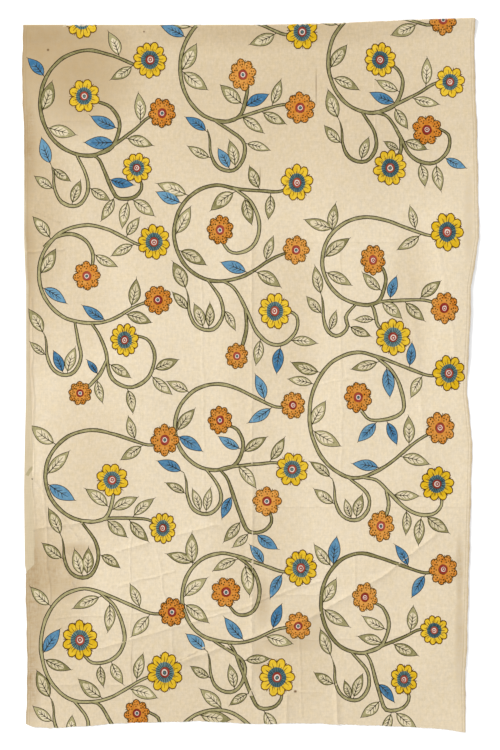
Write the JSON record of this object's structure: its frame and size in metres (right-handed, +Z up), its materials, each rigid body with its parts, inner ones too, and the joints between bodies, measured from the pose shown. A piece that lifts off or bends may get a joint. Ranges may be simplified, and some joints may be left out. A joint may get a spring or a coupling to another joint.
{
  "type": "kalamkari panel",
  "caption": "Loom-width length of hand-painted cotton with scrolling flower vines, folded once across and laid flat, face up.",
  "frame": {"origin": "on the surface it lies on, below the middle of the cloth", "axes": "+Z up out of the painted face, +Y towards the fold at the top edge, +X to the right of the painted face"},
  "size_m": [1.1418, 1.7979, 0.0105],
  "materials": {
    "painted_cotton": "matte plain weave, roughness 0.92"
  },
  "bodies": {
    "root": {"cloth": "painted_cotton"}
  },
  "joints": []
}
